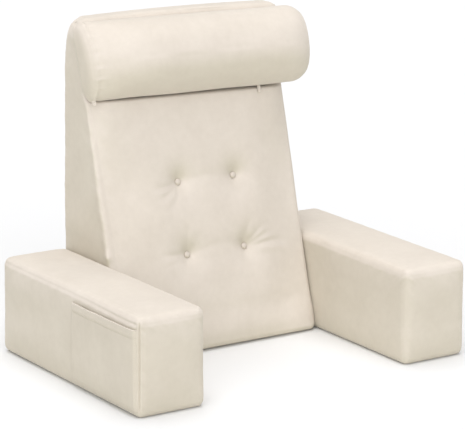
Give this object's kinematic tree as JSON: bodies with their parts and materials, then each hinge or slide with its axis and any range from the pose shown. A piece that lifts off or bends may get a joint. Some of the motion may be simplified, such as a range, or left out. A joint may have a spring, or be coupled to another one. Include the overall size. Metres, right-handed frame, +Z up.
{
  "type": "reading pillow",
  "caption": "Upholstered reading pillow: a leaning wedge backrest with tufting buttons between two block arms, with a neck roll at the top and a side pocket.",
  "frame": {"origin": "on the floor, below the middle of the whole pillow's box", "axes": "+X to the right of someone who looks at the front, +Y to the rear, +Z up; the reader faces -Y"},
  "size_m": [0.7092, 0.486, 0.6045],
  "materials": {
    "cover": "matte brushed microfibre, cream"
  },
  "bodies": {
    "root": {"backrest": "cover", "arm_left": "cover", "arm_right": "cover", "neck_roll": "cover", "pocket": "cover", "button_upper_left": "cover", "button_upper_right": "cover", "button_lower_left": "cover", "button_lower_right": "cover", "tab_left": "cover", "tab_right": "cover"}
  },
  "joints": []
}
